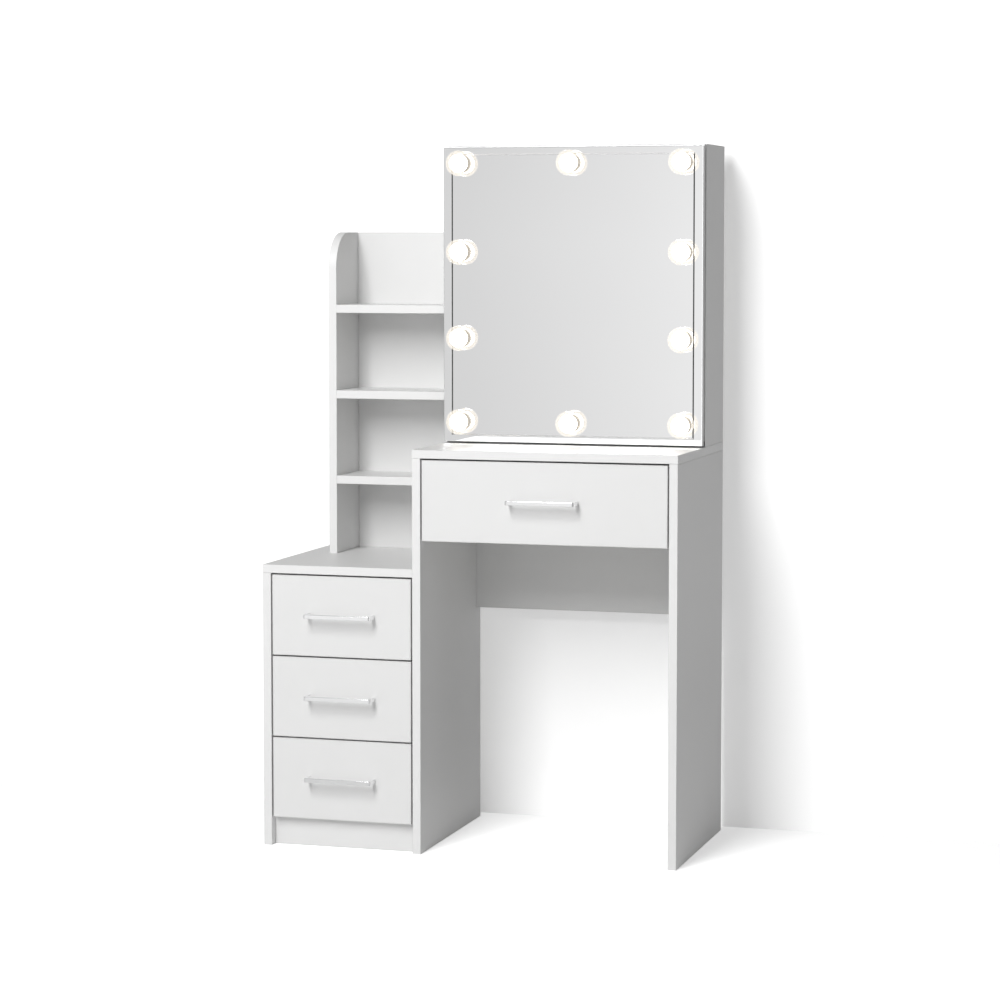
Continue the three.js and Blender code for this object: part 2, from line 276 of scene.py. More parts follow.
def opalShellFinish(look):  # the thin frosted globe round it, which shows the base through its side
    finish = Finish("opalShell", (0.30, 0.28, 0.25), 0.22)
    frost = finish.noise(160, 2)
    glow = finish.between(finish.spread(frost, 0, 1), (1.0, 0.90, 0.76), (1.0, 0.95, 0.86))
    finish.link(glow, finish.shader.inputs["Emission Color"])
    finish.set("Emission Strength", look["shellGlow"])
    finish.set("Alpha", look["shellCover"])
    finish.rough(finish.spread(frost, 0.18, 0.3))
    finish.bump(finish.noise(1500, 2), 0.02 * mm, 0.4)
    finish.set("Coat Weight", 0.3)
    finish.set("Coat Roughness", 0.12)
    return finish.material


lampLook = {
    "globeRadius": 24 * mm,
    "globeReach": 22 * mm,  # of its centre from the glass
    "baseRadius": 17 * mm,
    "baseHeight": 6 * mm,
    "coreRadius": 17.5 * mm,
    "turns": 64,
    "rings": 26,
    "coreGlow": 3.0,
    "shellGlow": 0.84,
    "shellCover": 0.3,
}

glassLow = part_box("mirror_glass")[0]
whiteBoard = melamineFinish("whiteMelamine", (0.75, 0.75, 0.747), 0.38)
whiteBand = melamineFinish("whiteEdgeBand", (0.78, 0.78, 0.777), 0.30)
bandSeam = plasticFinish("bandSeam", (0.50, 0.49, 0.47), 0.6)
hardboard = hardboardFinish()
chipboard = chipboardFinish()
mirrorSilver = mirrorFinish()
# one groove finish in two tones: dark for the upright walls is painted shade, light for the level walls is
# painted light
uprightCutPaintedShade = cutGlassFinish("uprightGlassCut", 0.36)
levelCutPaintedLight = cutGlassFinish("levelGlassCut", 0.86)
glassEdge = glassEdgeFinish()
polishedAluminium = aluminiumFinish("polishedAluminium", (0.97, 0.97, 0.975), 0.12, (0.15, 4, 4))
satinAluminium = aluminiumFinish("satinAluminium", (0.86, 0.865, 0.87), 0.26, (0.05, 6, 6))
# near-black metal for the bottom track, so that the gap under the mirror reads dark: painted shade
trackPaintedShade = aluminiumFinish("darkAnodised", (0.16, 0.16, 0.165), 0.35, (0.05, 6, 6))
powderCoat = powderCoatFinish()
nylon = plasticFinish("naturalNylon", (0.78, 0.76, 0.70), 0.4)
capPlastic = plasticFinish("whiteCapPlastic", (0.82, 0.82, 0.81), 0.35)
# near-black lamp base, so that its side seen through the globe reads as the shaded crescent: painted shade
lampBasePlastic = plasticFinish("lampBasePlastic", (0.11, 0.10, 0.09), 0.45)
zincPlate = aluminiumFinish("zincPlate", (0.72, 0.73, 0.72), 0.28, (1, 1, 1))
litCore = lampCoreFinish(lampLook)
opalShell = opalShellFinish(lampLook)
boardFinish = [whiteBoard, whiteBand, bandSeam, chipboard]
print("finishes ready")


class Shape:  # gathers closed shells for one piece
    def __init__(self):
        self.points, self.faces, self.slots, self.soft = [], [], [], []

    def face(self, corners, slot=0, soft=False):
        start = len(self.points)
        self.points += [tuple(c) for c in corners]
        self.faces.append(tuple(range(start, start + len(corners))))
        self.slots.append(slot)
        self.soft.append(soft)

    def loft(self, rings, slots=0, soft=False, firstCap=0, lastCap=0, softAcross=None):
        start, count = len(self.points), len(rings[0])
        for ring in rings:
            self.points += [tuple(p) for p in ring]
        for i in range(len(rings) - 1):
            a = start + i * count
            for j in range(count):
                k = (j + 1) % count
                self.faces.append((a + j, a + k, a + count + k, a + count + j))
                self.slots.append(slots[i] if isinstance(slots, (list, tuple)) else slots)
                along = soft[i] if isinstance(soft, (list, tuple)) else soft
                self.soft.append(bool(softAcross[j]) if softAcross else bool(along))
        if firstCap is not None:
            self.face(rings[0], firstCap)
        if lastCap is not None:
            self.face(rings[-1], lastCap)

    def piece(self, name, materials):
        mesh = bpy.data.meshes.new(name)
        mesh.from_pydata(self.points, [], self.faces)
        for material in materials:
            mesh.materials.append(material)
        mesh.polygons.foreach_set("material_index", self.slots)
        mesh.polygons.foreach_set("use_smooth", self.soft)
        work = bmesh.new()
        work.from_mesh(mesh)
        bmesh.ops.remove_doubles(work, verts=work.verts, dist=0.002 * mm)
        bmesh.ops.recalc_face_normals(work, faces=work.faces)
        work.to_mesh(mesh)
        work.free()
        made = bpy.data.objects.new(name, mesh)
        scene.collection.objects.link(made)
        return made


def settle(piece, body, slot, *nodes):  # the piece rides on its body and stands for its nodes
    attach(piece, body)
    if nodes:
        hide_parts(*nodes)
    return piece


def swing(axis, u, v, t):  # from flat coordinates to the row frame
    return {"x": (t, u, v), "y": (u, t, v), "z": (u, v, t)}[axis]


def flatBox(axis, low, high):  # (u range, v range, t range) of a box seen along an axis
    x, y, z = ((low[i], high[i]) for i in range(3))
    return {"x": (y, z, x), "y": (x, z, y), "z": (x, y, z)}[axis]


def rectangle(u, v):
    return lambda a, b=None: [
        (u[0] + a, v[0] + (a if b is None else b)),
        (u[1] - a, v[0] + (a if b is None else b)),
        (u[1] - a, v[1] - (a if b is None else b)),
        (u[0] + a, v[1] - (a if b is None else b)),
    ]


def roundCorners(corners, steps=3):  # corners are (u, v, radius); gives points and which segments are rounded
    points, rounded = [], []
    count = len(corners)
    for i, (u, v, radius) in enumerate(corners):
        here = Vector((u, v))
        back = (Vector(corners[i - 1][:2]) - here).normalized()
        ahead = (Vector(corners[(i + 1) % count][:2]) - here).normalized()
        if radius <= 0:
            points.append((u, v))
            rounded.append(False)
            continue
        angle = back.angle(ahead)
        reach = radius / math.tan(angle / 2)
        centre = here + (back + ahead).normalized() * (radius / math.sin(angle / 2))
        start, end = here + back * reach - centre, here + ahead * reach - centre
        turn = start.angle_signed(end)
        for k in range(steps + 1):
            share = -turn * k / steps
            c, s = math.cos(share), math.sin(share)
            points.append((centre.x + start.x * c - start.y * s, centre.y + start.x * s + start.y * c))
            rounded.append(k < steps)
    return points, rounded


boardLook = {
    "arris": 0.7 * mm,
    "arrisSteps": 3,
    "bandLine": 1.2 * mm,  # glue line between the face and the edge band
    "lineWidth": 0.25 * mm,
    "lineDepth": 0.12 * mm,
}
sheetLook = {"arris": 0.25 * mm, "arrisSteps": 2, "bandLine": 0, "lineWidth": 0, "lineDepth": 0}


def boardRings(thick, look):  # (inset, t, slot of the faces after it, whether they are rounded)
    arris, steps = look["arris"], look["arrisSteps"]
    rings = []
    if look["bandLine"]:
        line, wide = look["bandLine"], look["lineWidth"]
        rings += [
            (line + wide, 0, 2, False),
            (line + wide / 2, look["lineDepth"], 2, False),
            (line, 0, 1, False),
        ]
    for k in range(steps + 1):
        angle = math.pi / 2 * k / steps
        rings.append((arris * (1 - math.sin(angle)), arris * (1 - math.cos(angle)), 1, k < steps))
    back = [(inset, thick - t) for inset, t, _, _ in reversed(rings)]
    styles = [(slot, rounded) for _, _, slot, rounded in reversed(rings[:-1])] + [(0, False)]
    return rings + [(inset, t, slot, rounded) for (inset, t), (slot, rounded) in zip(back, styles)]


def addBoard(shape, axis, outline, t, look=boardLook, recess=None):
    rings = boardRings(t[1] - t[0], look)
    placed = [[swing(axis, u, v, t[0] + depth) for u, v in outline(inset)] for inset, depth, _, _ in rings]
    shape.loft(placed, [r[2] for r in rings], [r[3] for r in rings], 0, None if recess else 0)
    if recess:  # a closed slot sunk into the far face: (u range, v range, depth)
        edge = outline(rings[-1][0])
        (u0, u1), (v0, v1), depth = recess
        mouth = [(u0, v0), (u1, v0), (u1, v1), (u0, v1)]
        ringsIn = [[swing(axis, u, v, t[1]) for u, v in edge], [swing(axis, u, v, t[1]) for u, v in mouth],
                   [swing(axis, u, v, t[1] - depth) for u, v in mouth]]
        shape.loft(ringsIn, [0, 3], False, None, 3)


def board(name, axis, look=boardLook, finish=None, slot="melamine"):
    low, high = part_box(name)
    u, v, t = flatBox(axis, low, high)
    shape = Shape()
    addBoard(shape, axis, rectangle(u, v), t, look)
    return settle(shape.piece(pieceName(name), finish or boardFinish), bodyOf[name], slot, name)


def pieceName(node):  # cabinet_left_panel becomes cabinetLeftPanel
    head, *rest = node.split("_")
    return head + "".join(word.capitalize() for word in rest)


def extrude(shape, axis, corners, t, slot=0, steps=3):
    points, rounded = roundCorners(corners, steps)
    rings = [[swing(axis, u, v, at) for u, v in points] for at in t]
    shape.loft(rings, slot, False, slot, slot, rounded)


def lathe(shape, profile, centre, direction, turns, slots=0, soft=True):
    axis = Vector(direction).normalized()
    side = axis.orthogonal().normalized()
    other = axis.cross(side)
    rings = []
    for radius, height in profile:
        middle = Vector(centre) + axis * height
        rings.append([
            middle + (side * math.cos(a) + other * math.sin(a)) * radius
            for a in (2 * math.pi * i / turns for i in range(turns))
        ])
    shape.loft(rings, slots, soft, None, None)


boardAxes = {
    "x": ["cabinet_left_panel", "middle_panel", "desk_right_panel", "mirror_box_left", "mirror_box_right"],
    "y": ["cabinet_plinth", "desk_back_panel", "tower_back", "mirror_board"],
    "z": [
        "cabinet_top", "cabinet_bottom", "desk_top",
        "tower_shelf_lower", "tower_shelf_middle", "tower_shelf_upper",
        "mirror_box_top", "mirror_box_bottom", "mirror_box_shelf_lower", "mirror_box_shelf_upper",
    ],
}
for axis, names in boardAxes.items():
    for name in names:
        board(name, axis)
for name in ("cabinet_back", "mirror_box_back"):
    board(name, "y", sheetLook, [hardboard, hardboard], "hardboard")

towerLook = {"cornerRadius": 70 * mm, "cornerSteps": 28}


def makeTowerSide(look):
    low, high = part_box("tower_side")
    radius, steps = look["cornerRadius"], look["cornerSteps"]

    def outline(inset):
        points = [
            (low.y + inset, low.z + inset), (high.y - inset, low.z + inset), (high.y - inset, high.z - inset),
        ]
        for k in range(steps + 1):
            angle = math.pi / 2 * (1 + k / steps)
            points.append((
                low.y + radius + (radius - inset) * math.cos(angle),
                high.z - radius + (radius - inset) * math.sin(angle),
            ))
        return points

    shape = Shape()
    addBoard(shape, "x", outline, (low.x, high.x))
    return settle(shape.piece("towerSide", boardFinish), "carcass", "melamine", "tower_side")


makeTowerSide(towerLook)
print("carcass boards ready")


drawerLook = {
    "sideThick": 12 * mm,
    "bottomLift": 8 * mm,
    "grooveDepth": 5 * mm,
    "grooveHeight": 3.4 * mm,
    "arris": 0.6 * mm,
}


def makeDrawer(name, look):
    body = bodyOf[name + "_front"]
    frontLow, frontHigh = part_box(name + "_front")
    boxLow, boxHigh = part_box(name + "_box")
    side, deep = look["sideThick"], look["grooveDepth"]
    gz = (boxLow.z + look["bottomLift"], boxLow.z + look["bottomLift"] + look["grooveHeight"])
    inner = (boxLow.x + side, boxHigh.x - side)

    shape = Shape()
    u, v, t = flatBox("y", frontLow, frontHigh)
    addBoard(shape, "y", rectangle(u, v), t, boardLook, ((inner[0] - deep, inner[1] + deep), gz, deep))
    settle(shape.piece(pieceName(name) + "Front", boardFinish), body, "melamine", name + "_front")

    shape = Shape()
    r = look["arris"]
    for outer, way in ((boxLow.x, 1), (boxHigh.x, -1)):
        face = outer + way * side
        corners = [
            (outer, boxLow.z, r), (face, boxLow.z, r), (face, gz[0], 0), (face - way * deep, gz[0], 0),
            (face - way * deep, gz[1], 0), (face, gz[1], 0), (face, boxHigh.z, r), (outer, boxHigh.z, r),
        ]
        extrude(shape, "y", corners, (boxLow.y, boxHigh.y))
    backY = (boxHigh.y - side, boxHigh.y)
    corners = [
        (backY[0], boxLow.z, r), (backY[1], boxLow.z, r), (backY[1], boxHigh.z, r), (backY[0], boxHigh.z, r),
        (backY[0], gz[1], 0), (backY[0] + deep, gz[1], 0), (backY[0] + deep, gz[0], 0), (backY[0], gz[0], 0),
    ]
    extrude(shape, "x", corners, inner)
    settle(shape.piece(pieceName(name) + "Box", [whiteBoard]), body, "melamine", name + "_box")

    board(name + "_bottom", "z", sheetLook, [hardboard, hardboard], "hardboard")


for name in drawers:
    makeDrawer(name, drawerLook)

handleLook = {
    "barThick": 6 * mm,
    "outerRadius": 5 * mm,
    "innerRadius": 2 * mm,
    "edgeRound": 0.8 * mm,
    "edgeSteps": 4,
    "cornerSteps": 10,
}


def makeHandle(name, look):
    low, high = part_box(name)
    bar, outer, inner, steps = look["barThick"], look["outerRadius"], look["innerRadius"], look["cornerSteps"]

    def arc(cx, cy, radius, start, turn):
        return [
            (cx + radius * math.cos(start + turn * k / steps), cy + radius * math.sin(start + turn * k / steps))
            for k in range(steps + 1)
        ]

    def outline(inset):
        half = math.pi / 2
        x0, x1, y0, y1 = low.x + inset, high.x - inset, low.y + inset, high.y
        ix0, ix1, iy = low.x + bar - inset, high.x - bar + inset, low.y + bar - inset
        big, small = outer - inset, inner + inset
        points = [(x0, y1)] + arc(x0 + big, y0 + big, big, 2 * half, half)
        points += arc(x1 - big, y0 + big, big, 3 * half, half)
        points += [(x1, y1), (ix1, y1)] + arc(ix1 - small, iy + small, small, 0, -half)
        return points + arc(ix0 + small, iy + small, small, -half, -half) + [(ix0, y1)]

    handleBoard = {
        "arris": look["edgeRound"], "arrisSteps": look["edgeSteps"],
        "bandLine": 0, "lineWidth": 0, "lineDepth": 0,
    }
    shape = Shape()
    addBoard(shape, "z", outline, (low.z, high.z), handleBoard)
    settle(shape.piece(pieceName(name), [polishedAluminium, polishedAluminium]), bodyOf[name], "handle", name)


for name in drawers:
    makeHandle(name + "_handle", handleLook)
print("drawers ready")


runnerLook = {
    "wall": 1.5 * mm,
    "ledge": 20 * mm,
    "ledgeDrop": 8 * mm,
    "lip": 4 * mm,
    "rise": 22 * mm,
    "lid": 11 * mm,
    "fold": 0.5 * mm,
    "memberWall": 1.1 * mm,
    "memberRise": 14 * mm,
    "memberShelf": 9.4 * mm,  # reach of its upper shelf towards the panel
    "memberUnder": 9 * mm,  # reach of its lower shelf under the drawer side
    "rollerRadius": 6.8 * mm,
    "rollerWidth": 7 * mm,
}


def makeRunners(name, look):
    boxLow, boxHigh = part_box(name + "_box")
    body = bodyOf[name + "_front"]
    members = Shape()
    for sideName, way in (("left", 1), ("right", -1)):
        node = f"{name}_runner_{sideName}"
        low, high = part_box(node)
        panel = low.x if way > 0 else high.x
        base = boxLow.z
        wall, ledge, rise, lid, fold = look["wall"], look["ledge"], look["rise"], look["lid"], look["fold"]
        section = [
            (0, -look["ledgeDrop"]), (ledge, -look["ledgeDrop"]),
            (ledge, -look["lip"]), (ledge - wall, -look["lip"]),
            (ledge - wall, wall - look["ledgeDrop"]), (wall, wall - look["ledgeDrop"]), (wall, rise - wall),
            (lid, rise - wall), (lid, rise), (0, rise),
        ]
        shape = Shape()
        extrude(shape, "y", [(panel + way * u, base + v, fold) for u, v in section], (low.y, high.y))
        settle(shape.piece(pieceName(node), [powderCoat]), "carcass", "runner", node)

        face = boxLow.x if way > 0 else boxHigh.x
        thin, top = look["memberWall"], look["memberRise"]
        section = [
            (-thin, -thin), (look["memberUnder"], -thin), (look["memberUnder"], 0), (0, 0), (0, top),
            (-look["memberShelf"], top), (-look["memberShelf"], top - thin), (-thin, top - thin),
        ]
        extrude(members, "y", [(face + way * u, base + v, 0.3 * mm) for u, v in section],
                (boxLow.y + 2 * mm, boxHigh.y - 2 * mm))
    settle(members.piece(pieceName(name) + "Members", [powderCoat]), body, "runner")


for name in drawers:
    makeRunners(name, runnerLook)
print("runners ready")


mirrorLook = {
    "grooveSideInset": 17 * mm,
    "grooveEndInset": 14 * mm,
    "grooveWidth": 3 * mm,
    "grooveDepth": 1.5 * mm,
    "arris": 0.8 * mm,
}


def makeMirrorGlass(look):
    low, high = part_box("mirror_glass")
    u, v, t = flatBox("y", low, high)
    outline = rectangle(u, v)
    side, end = look["grooveSideInset"], look["grooveEndInset"]
    half, deep = look["grooveWidth"] / 2, look["grooveDepth"]
    arris = look["arris"]
    rings = [  # (inset at the sides, inset at the ends, depth, slot after)
        (side + half, end + half, 0, 1),
        (side, end, deep, 1),
        (side - half, end - half, 0, 0),
        (arris, arris, 0, 2),
        (0, 0, arris, 2),
        (0, 0, 4 * mm - arris, 2),
        (arris, arris, 4 * mm, 2),
    ]
    shape = Shape()
    placed = [[swing("y", a, b, t[0] + depth) for a, b in outline(i, j)] for i, j, depth, _ in rings]
    shape.loft(placed, [r[3] for r in rings], False, 0, 2)
    for k in (0, 2, 4, 6):  # the lower and upper grooves get the light glass tone and the upright ones the dark tone: painted light and painted shade for the bright and dark room they reflect
        shape.slots[k] = 3
    finishes = [mirrorSilver, uprightCutPaintedShade, glassEdge, levelCutPaintedLight]
    settle(shape.piece("mirrorGlass", finishes), "sliding_mirror", "mirror", "mirror_glass")


makeMirrorGlass(mirrorLook)

lampNodes = sorted(node for node in bodyOf if node.startswith("bulb_"))


def makeLamp(node, look):
    low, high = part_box(node)
    centre = ((low.x + high.x) / 2, glassLow.y, (low.z + high.z) / 2)
    out = (0, -1, 0)
    base, tall, globe, reach = look["baseRadius"], look["baseHeight"], look["globeRadius"], look["globeReach"]
    shape = Shape()
    rim = 1.0 * mm
    ring = [(0, 0), (base, 0), (base, 0.6 * mm), (base - 0.5 * mm, 0.9 * mm), (base - 0.5 * mm, tall - rim)]
    ring += [
        (base - 0.5 * mm - rim * (1 - math.cos(a)), tall - rim + rim * math.sin(a)) for a in (0.5, 1.0, 1.57)
    ]
    ring += [(0, tall)]
    lathe(shape, ring, centre, out, look["turns"], 2)
    for radius, slot in ((look["coreRadius"], 0), (globe, 1)):
        foot = tall - 0.6 * mm
        start = math.acos(max(-1, min(1, (foot - reach) / radius)))
        profile = [(0, foot)]
        for k in range(look["rings"] + 1):
            angle = start * (1 - k / look["rings"])
            wide = radius * math.sin(angle) if k < look["rings"] else 0
            profile.append((wide, reach + radius * math.cos(angle)))
        lathe(shape, profile, centre, out, look["turns"], slot)
    finishes = [litCore, opalShell, lampBasePlastic]
    settle(shape.piece(pieceName(node), finishes), "sliding_mirror", "diffuser", node)


for node in lampNodes:
    makeLamp(node, lampLook)

trackLook = {"wall": 1.5 * mm, "mouth": 5 * mm, "fold": 0.35 * mm}


def makeTrack(node, look, finish):
    low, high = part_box(node)
    wall, fold, middle, half = look["wall"], look["fold"], (low.z + high.z) / 2, look["mouth"] / 2
    lip, back = low.y, high.y
    section = [
        (back, low.z), (back, high.z), (lip, high.z), (lip, middle + half), (lip + wall, middle + half),
        (lip + wall, high.z - wall), (back - wall, high.z - wall), (back - wall, low.z + wall),
        (lip + wall, low.z + wall), (lip + wall, middle - half), (lip, middle - half), (lip, low.z),
    ]
    shape = Shape()
    extrude(shape, "x", [(y, z, fold) for y, z in section], (low.x, high.x))
    settle(shape.piece(pieceName(node), [finish]), "carcass", "track", node)


makeTrack("mirror_track_top", trackLook, satinAluminium)
# the bottom track's near-black metal is painted shade for the gap under the mirror
makeTrack("mirror_track_bottom", trackLook, trackPaintedShade)

slideLook = {
    "clearance": 0.5 * mm,
    "fold": 0.3 * mm,
    "shoeLength": 24 * mm,
    "shoePlaces": (253 * mm, 463 * mm),  # from the mirror's left edge
}


def makeSlide(look, track):
    low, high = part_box("mirror_runner")
    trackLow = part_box("mirror_track_top")[0]
    gap, fold = look["clearance"], look["fold"]
    middle = (low.z + high.z) / 2
    head, stem = (high.z - low.z) / 2, track["mouth"] / 2 - gap
    neck, headEnd = trackLow.y + track["wall"] + gap, high.y
    section = [
        (low.y, middle - stem), (neck, middle - stem), (neck, middle - head), (headEnd, middle - head),
        (headEnd, middle + head), (neck, middle + head), (neck, middle + stem), (low.y, middle + stem),
    ]
    shape = Shape()
    extrude(shape, "x", [(y, z, fold) for y, z in section], (low.x, high.x))
    settle(shape.piece("mirrorRunner", [satinAluminium]), "sliding_mirror", "track", "mirror_runner")

    footLow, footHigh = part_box("mirror_track_bottom")
    boardLow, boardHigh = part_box("mirror_board")
    middle = (footLow.z + footHigh.z) / 2
    head = (footHigh.z - footLow.z) / 2 - track["wall"] - gap
    neck, headEnd = footLow.y + track["wall"] + gap, footHigh.y - track["wall"] - gap
    shape = Shape()
    section = [
        (boardHigh.y, middle - stem), (neck, middle - stem), (neck, middle - head), (headEnd, middle - head),
        (headEnd, middle + head), (neck, middle + head), (neck, middle + stem), (boardHigh.y, middle + stem),
    ]
    for place in look["shoePlaces"]:
        x = boardLow.x + place
        extrude(shape, "x", [(y, z, 0.4 * mm) for y, z in section], (x, x + look["shoeLength"]))
    settle(shape.piece("mirrorGuideShoes", [nylon]), "sliding_mirror", "track")


makeSlide(slideLook, trackLook)
print("mirror ready")


def fittingTree():  # copies of a head on points, each turned to its point's own directions
    tree = bpy.data.node_groups.new("fitOut", "GeometryNodeTree")
    wanted = (("Points", "Geometry", None), ("Head", "Object", None), ("Size", "Float", 1.0),
              ("Spin", "Float", 0.0), ("Seed", "Int", 7), ("Finish", "Material", None))
    for label, kind, value in wanted:
        socket = tree.interface.new_socket(label, in_out="INPUT", socket_type="NodeSocket" + kind)
        if value is not None:
            socket.default_value = value
    tree.interface.new_socket("Geometry", in_out="OUTPUT", socket_type="NodeSocketGeometry")

    def node(kind, **settings):
        made = tree.nodes.new(kind)
        for key, value in settings.items():
            setattr(made, key, value)
        return made

    given, result = node("NodeGroupInput"), node("NodeGroupOutput")
    head = node("GeometryNodeObjectInfo", transform_space="ORIGINAL")
    facing = node("GeometryNodeInputNamedAttribute", data_type="FLOAT_VECTOR")
    along = node("GeometryNodeInputNamedAttribute", data_type="FLOAT_VECTOR")
    facing.inputs["Name"].default_value = "facing"
    along.inputs["Name"].default_value = "along"
    stand = node("FunctionNodeAlignRotationToVector", axis="Z")
    turn = node("FunctionNodeAlignRotationToVector", axis="X", pivot_axis="Z")
    least = node("ShaderNodeMath", operation="MULTIPLY")
    least.inputs[1].default_value = -1
    chance = node("FunctionNodeRandomValue", data_type="FLOAT")
    spin = node("ShaderNodeCombineXYZ")
    angle = node("FunctionNodeEulerToRotation")
    rotate = node("FunctionNodeRotateRotation", rotation_space="LOCAL")
    place = node("GeometryNodeInstanceOnPoints")
    realize = node("GeometryNodeRealizeInstances")
    finish = node("GeometryNodeSetMaterial")

    def link(source, target):
        tree.links.new(source, target)

    def output(source, name, kind=None):
        fits = [s for s in source.outputs if s.name == name and s.enabled]
        return [s for s in fits if kind is None or s.type == kind][0]

    link(given.outputs["Head"], head.inputs["Object"])
    link(output(facing, "Attribute"), stand.inputs["Vector"])
    link(stand.outputs["Rotation"], turn.inputs["Rotation"])
    link(output(along, "Attribute"), turn.inputs["Vector"])
    link(given.outputs["Spin"], least.inputs[0])
    link(least.outputs[0], [s for s in chance.inputs if s.name == "Min" and s.enabled][0])
    link(given.outputs["Spin"], [s for s in chance.inputs if s.name == "Max" and s.enabled][0])
    link(given.outputs["Seed"], chance.inputs["Seed"])
    link(output(chance, "Value"), spin.inputs["Z"])
    link(spin.outputs[0], angle.inputs[0])
    link(turn.outputs["Rotation"], rotate.inputs["Rotation"])
    link(angle.outputs[0], rotate.inputs["Rotate By"])
    link(given.outputs["Points"], place.inputs["Points"])
    link(head.outputs["Geometry"], place.inputs["Instance"])
    link(rotate.outputs[0], place.inputs["Rotation"])
    link(given.outputs["Size"], place.inputs["Scale"])
    link(place.outputs["Instances"], realize.inputs["Geometry"])
    link(realize.outputs["Geometry"], finish.inputs["Geometry"])
    link(given.outputs["Finish"], finish.inputs["Material"])
    link(finish.outputs["Geometry"], result.inputs["Geometry"])
    return tree


fitting = fittingTree()


# places are (point, facing, along)
def fitOut(name, body, slot, head, places, finish, size=1.0, spin=0.0, seed=7):
    mesh = bpy.data.meshes.new(name + "Points")
    mesh.from_pydata([point for point, _, _ in places], [], [])
    for label, column in (("facing", 1), ("along", 2)):
        attribute = mesh.attributes.new(label, "FLOAT_VECTOR", "POINT")
        attribute.data.foreach_set("vector", [float(c) for place in places for c in place[column]])
    holder = bpy.data.objects.new(name, mesh)
    scene.collection.objects.link(holder)
    modifier = holder.modifiers.new("fitOut", "NODES")
    modifier.node_group = fitting
    values = {"Head": head, "Size": size, "Spin": spin, "Seed": seed, "Finish": finish}
    for item in fitting.interface.items_tree:
        if item.in_out == "INPUT" and item.name in values:
            modifier[item.identifier] = values[item.name]
    holder.update_tag()
    graph = bpy.context.evaluated_depsgraph_get()
    made = bpy.data.meshes.new_from_object(holder.evaluated_get(graph), depsgraph=graph)
    made.name = name
    holder.modifiers.clear()
    holder.data = made
    bpy.data.meshes.remove(mesh)
    return settle(holder, body, slot)


fittingLook = {
    "capRadius": 8.5 * mm,
    "capHeight": 0.8 * mm,
    "capInset": 38 * mm,  # from the ends of a board
    "screwRadius": 3.4 * mm,
    "handleScrewRadius": 4 * mm,
    "pinRadius": 2.5 * mm,
    "pinReach": 9 * mm,
    "socketRadius": 10 * mm,
    "socketHeight": 6.3 * mm,
    "ductWidth": 12 * mm,
    "ductHeight": 4.5 * mm,
    "rollerHub": 2.4 * mm,
    "clipSize": (14 * mm, 9 * mm, 16 * mm),
    "clipShares": (0.12, 0.5, 0.88),  # of a back's height
    "capRise": 40 * mm,  # from the top and the foot of an upright board
    "capDepth": 45 * mm,  # from the front and the rear of a level board
    "deskCapDepths": (60 * mm, 300 * mm),  # from the front of the desk top
    "runnerScrewPlaces": (46 * mm, 236 * mm),  # from a runner's front end
    "memberScrewPlaces": (44 * mm, 234 * mm),  # from a drawer box's front end
    "boxScrewHeights": (40 * mm, 78 * mm),
    "pinInset": 24 * mm,  # from a shelf's front and rear
}


def turnedHead(name, profile, turns=32, soft=True):
    shape = Shape()
    lathe(shape, profile, (0, 0, 0), (0, 0, 1), turns, 0, soft)
    return shape.piece(name, [capPlastic])


def screwHead(name, radius, height, deep):  # a low dome with a cross cut into it
    reach, half = radius * 0.58, radius * 0.13
    corner = math.atan2(half, reach)
    between = (corner + math.pi / 4) / 2
    quarter = [0, corner, between, math.pi / 4, math.pi / 2 - between, math.pi / 2 - corner]
    angles = [q * math.pi / 2 + a for q in range(4) for a in quarter]

    def ring(size, z):
        return [(size * math.cos(a), size * math.sin(a), z) for a in angles]

    def cross(z, shrink=1.0):
        points = []
        for a in angles:
            c, d = max(abs(math.cos(a)), 1e-6), max(abs(math.sin(a)), 1e-6)
            far = max(min(reach / c, half / d), min(half / c, reach / d)) * shrink
            points.append((far * math.cos(a), far * math.sin(a), z))
        return points

    rings = [ring(radius, -0.3 * mm), ring(radius, height * 0.35), ring(radius * 0.93, height * 0.75),
             ring(radius * 0.76, height), cross(height), cross(height - deep, 0.8)]
    shape = Shape()
    shape.loft(rings, 0, [False, True, True, False, False], 0, 0)
    return shape.piece(name, [zincPlate])


def capHead(name, radius, height):
    sunk = -0.3 * mm
    return turnedHead(name, [
        (0, sunk), (radius, sunk), (radius, height * 0.45), (radius - 0.25 * mm, height * 0.85),
        (radius - 0.7 * mm, height), (1.3 * mm, height), (1.0 * mm, height * 0.55), (0, height * 0.55),
    ])


